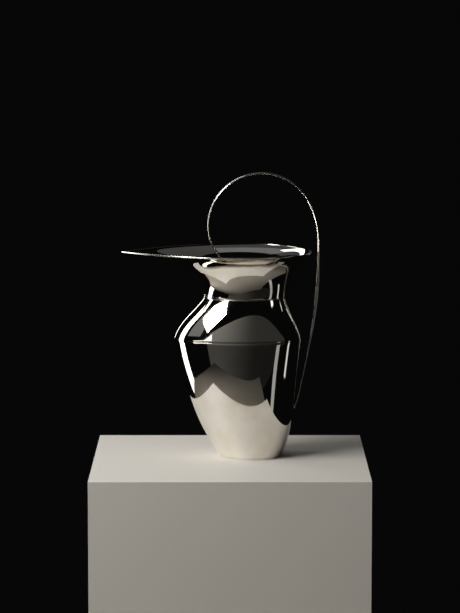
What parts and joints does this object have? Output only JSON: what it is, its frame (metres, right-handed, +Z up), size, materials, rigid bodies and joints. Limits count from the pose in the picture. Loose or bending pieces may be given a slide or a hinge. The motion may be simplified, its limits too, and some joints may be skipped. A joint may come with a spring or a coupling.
{
  "type": "silver water pitcher",
  "caption": "Polished silver water pitcher: egg-shaped body, sharp shoulder line, wide lip with a long pointed spout, and a slender bar handle that loops over the mouth into the throat.",
  "frame": {"origin": "centre of the underside of the base plate, on the surface that the pitcher stands on", "axes": "+Z up, the spout points towards -X, the handle stands towards +X, and the XZ plane is the plane of symmetry"},
  "size_m": [0.2165, 0.1548, 0.3095],
  "materials": {
    "raised_silver": "mirror-polished sterling silver sheet",
    "base_silver": "polished sterling silver, finely scratched underneath",
    "drawn_silver": "polished drawn sterling silver wire",
    "forged_silver": "polished forged sterling silver bar",
    "silver_solder": "silver solder, cleaned and lightly polished"
  },
  "bodies": {
    "root": {"base_plate": "base_silver", "base_seam_solder": "silver_solder", "lower_body": "raised_silver", "shoulder_seam_solder": "silver_solder", "shoulder": "raised_silver", "neck_seam_solder": "silver_solder", "neck_and_spout": "raised_silver", "rim_wire": "drawn_silver", "handle": "forged_silver", "handle_neck_solder": "silver_solder", "handle_lower_solder": "silver_solder"}
  },
  "joints": []
}
